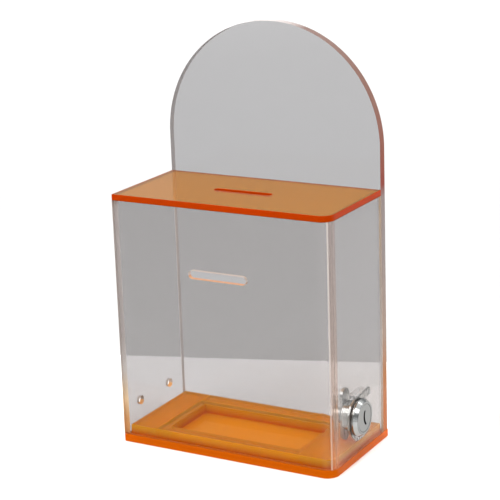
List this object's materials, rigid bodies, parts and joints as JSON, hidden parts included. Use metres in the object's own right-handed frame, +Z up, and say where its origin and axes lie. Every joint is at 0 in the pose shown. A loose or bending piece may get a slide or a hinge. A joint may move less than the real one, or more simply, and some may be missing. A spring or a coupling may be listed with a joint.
{
  "type": "donation box",
  "caption": "Clear acrylic collection box with a domed header, orange lid and base, coin slots in lid and front, and a cam lock low in its right wall.",
  "frame": {"origin": "centre of the base plate's underside, on the surface that the box stands on", "axes": "+X to the right wall with the lock, +Y to the back panel, +Z up"},
  "size_m": [0.1535, 0.078, 0.264],
  "materials": {
    "clear_acrylic": "polished, clear with a light grey tint",
    "orange_acrylic": "polished, fluorescent orange, transparent",
    "chrome": "bright plate",
    "steel": "zinc plated",
    "brass": "stamped"
  },
  "bodies": {
    "base": {"base_plate": "orange_acrylic", "base_frame": "orange_acrylic", "base_left_strip": "orange_acrylic", "base_back_strip": "orange_acrylic", "lock_keeper": "clear_acrylic"},
    "shell": {"front_side_panel": "clear_acrylic", "left_panel": "clear_acrylic", "back_panel": "clear_acrylic", "lid": "orange_acrylic", "lock_body": "chrome", "horseshoe_clip": "chrome"},
    "lock_cylinder": {"lock_plug": "chrome", "wafer_1": "brass", "wafer_2": "brass", "wafer_3": "brass", "wafer_4": "brass", "wafer_5": "brass", "wafer_6": "brass", "wafer_springs": "steel", "stop_washer": "steel", "cam": "steel", "cam_washer": "steel", "cam_screw": "steel"}
  },
  "joints": [
    {"name": "shell_lift", "type": "slide", "parent": "base", "child": "shell", "axis": [0, 0, 1], "range_m": [0, 0.06]},
    {"name": "lock_turn", "type": "hinge", "parent": "shell", "child": "lock_cylinder", "pos_m": [0.075, -0.002, 0.0275], "axis": [1, 0, 0], "range_deg": [0, 90]}
  ]
}
